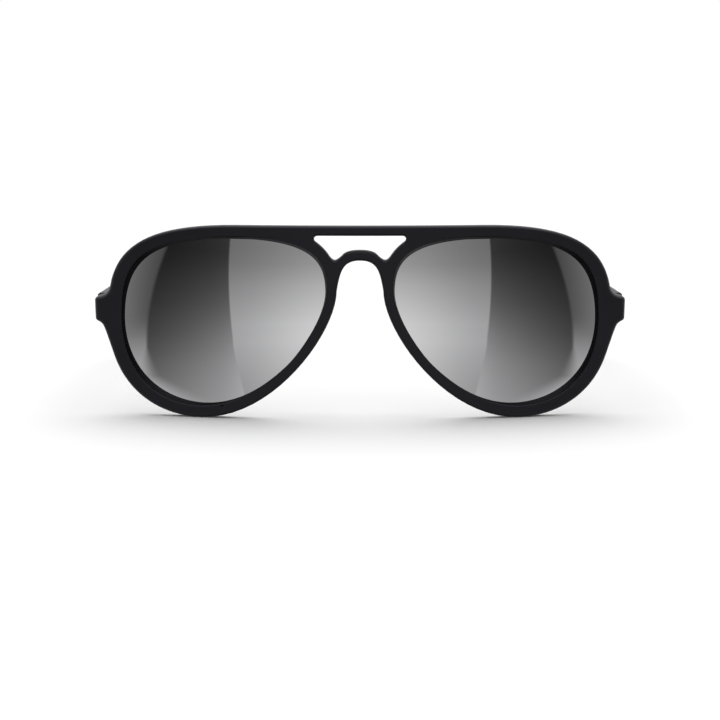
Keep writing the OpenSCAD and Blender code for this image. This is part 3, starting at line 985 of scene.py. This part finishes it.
# ---- Studio
# A white table under a broad soft sky, as in a product studio. The room is what the mirror
# lenses show: a pale wall behind the camera, a dark flat on each side of it, and white behind.
bpy.ops.object.select_all(action="DESELECT")
bpy.ops.mesh.primitive_plane_add(size=60)
table_top = bpy.context.object
table_top.name = "table_top"
paper, _, paper_shader = new_material("white_paper")
paper_shader.inputs["Base Color"].default_value = (0.9, 0.9, 0.9, 1)
paper_shader.inputs["Roughness"].default_value = 1
paper_shader.inputs["Specular IOR Level"].default_value = 0
table_top.data.materials.append(paper)
table_top.visible_glossy = False
table_top.visible_diffuse = False

bpy.ops.object.light_add(type="SUN", location=(0, 0, 1), rotation=(math.radians(-22), 0, 0))
overhead = bpy.context.object
overhead.name = "overhead_softbox"
overhead.data.energy = 1.90
overhead.data.angle = math.radians(70)
overhead.visible_glossy = False

room = bpy.data.worlds.new("studio_room")
bpy.context.scene.world = room
room.use_nodes = True
air = room.node_tree


def sum_node(operation, *values):
    """One Math node; each value is a number or another node's output."""
    node = air.nodes.new("ShaderNodeMath")
    node.operation = operation
    for socket, value in zip(node.inputs, values):
        if isinstance(value, (int, float)):
            socket.default_value = value
        else:
            link(air, value, socket)
    return node.outputs[0]


def between(value, low, high):
    """0 below low, 1 above high, and smooth between them."""
    node = air.nodes.new("ShaderNodeMapRange")
    node.interpolation_type = "SMOOTHSTEP"
    for name, number in (("Value", value), ("From Min", low), ("From Max", high)):
        if isinstance(number, (int, float)):
            node.inputs[name].default_value = number
        else:
            link(air, number, node.inputs[name])
    return node.outputs["Result"]


def graded(value, stops):
    """Grey by height in degrees, through stops of (height, grey)."""
    node = air.nodes.new("ShaderNodeValToRGB")
    low, high = stops[0][0], stops[-1][0]
    node.color_ramp.interpolation = "EASE" if len(stops) < 3 else "LINEAR"
    points = node.color_ramp.elements
    while len(points) < len(stops):
        points.new(0.5)
    for point, (height, grey) in zip(points, stops):
        point.position = (height - low) / (high - low)
        point.color = (grey, grey, grey, 1)
    level = sum_node("DIVIDE", sum_node("SUBTRACT", value, low), high - low)
    link(air, level, node.inputs["Fac"])
    grey = air.nodes.new("ShaderNodeSeparateColor")
    link(air, node.outputs["Color"], grey.inputs["Color"])
    return grey.outputs["Red"]


def blended(mask, first, second):
    return sum_node("ADD", sum_node("MULTIPLY", sum_node("SUBTRACT", 1.0, mask), first),
                    sum_node("MULTIPLY", mask, second))


def room_in_the_mirror():
    """How bright the room is each way: az from straight ahead of the glasses, el from level."""
    look = air.nodes.new("ShaderNodeTexCoord")
    way_out = air.nodes.new("ShaderNodeSeparateXYZ")
    link(air, look.outputs["Generated"], way_out.inputs["Vector"])
    x, y, z = (way_out.outputs[axis] for axis in "XYZ")
    az = sum_node("DEGREES", sum_node(
        "ARCTAN2", sum_node("ABSOLUTE", x), sum_node("MULTIPLY", y, -1.0)))
    el = sum_node("DEGREES", sum_node("ARCSINE", z))
    wall = graded(el, ((-40, 0.62), (-30, 0.64), (-22, 0.67), (-14, 0.70), (-7, 0.69),
                       (0, 0.64), (8, 0.58), (16, 0.50), (22, 0.47), (36, 0.45)))
    wall = sum_node("DIVIDE", sum_node("POWER", wall, 2.2), 0.665)
    flat = graded(el, ((-40, 0.56), (-35, 0.54), (-29, 0.51), (-22, 0.47), (-14, 0.404),
                       (-7, 0.345), (0, 0.288), (8, 0.238), (16, 0.190), (20, 0.172)))
    fading = sum_node("MULTIPLY_ADD", sum_node("MINIMUM", sum_node("ADD", el, 10.0), 0.0),
                      -0.0004, -0.0175)
    nearer = sum_node("EXPONENT", sum_node("MULTIPLY", sum_node("SUBTRACT", az, 32.0), fading))
    flat = sum_node("MULTIPLY", flat, sum_node("MULTIPLY", nearer, 1.02))
    flat = sum_node("DIVIDE", sum_node("POWER", flat, 2.2), 0.50)
    side = sum_node("MULTIPLY_ADD", sum_node("SUBTRACT", az, 57.0), 0.010, 0.35)
    low_side = graded(el, ((-33, 0.68), (-26, 0.66), (-18, 0.56), (-12, 0.46), (-4, 0.40)))
    side = blended(between(el, -14.0, -4.0), low_side, side)
    side = sum_node("DIVIDE", sum_node("POWER", sum_node("MINIMUM", side, 0.8), 2.2), 0.50)
    wall_edge = sum_node("MULTIPLY_ADD", sum_node("MAXIMUM", el, -12.0), 0.07, 20.4)
    low = sum_node("MINIMUM", sum_node("ADD", el, 16.0), 0.0)
    wall_edge = sum_node("MULTIPLY_ADD", low, 0.12, wall_edge)
    flat_edge = sum_node("MULTIPLY_ADD", el, -0.215, 53.1)
    lower = sum_node("MINIMUM", sum_node("ADD", el, 26.0), 0.0)
    flat_edge = sum_node("MULTIPLY_ADD", lower, 1.6, flat_edge)
    softness = sum_node("MULTIPLY_ADD", low, -0.55, 0.9)
    seen = blended(between(az, sum_node("SUBTRACT", wall_edge, 0.35),
                           sum_node("ADD", wall_edge, 0.35)), wall, flat)
    seen = blended(between(az, sum_node("SUBTRACT", flat_edge, softness),
                           sum_node("ADD", flat_edge, softness)), seen, side)
    seen = blended(between(az, 95.0, 112.0), seen, 1.0)
    seen = blended(between(el, -60.0, -42.0), 0.08, seen)
    return blended(between(el, 38.0, 60.0), seen, 2.2), el


def light_room():
    """White to the eye, the room to a mirror, and an even soft light to everything else."""
    paths = air.nodes.new("ShaderNodeLightPath")
    for_mirror, el = room_in_the_mirror()
    soft_light = blended(between(el, -25.0, 5.0), 0.08, 0.62)
    strength = blended(paths.outputs["Is Glossy Ray"], soft_light, for_mirror)
    strength = blended(paths.outputs["Is Camera Ray"], strength, 1.0)
    background = air.nodes["Background"]
    background.inputs["Color"].default_value = (1, 1, 1, 1)
    link(air, strength, background.inputs["Strength"])


light_room()
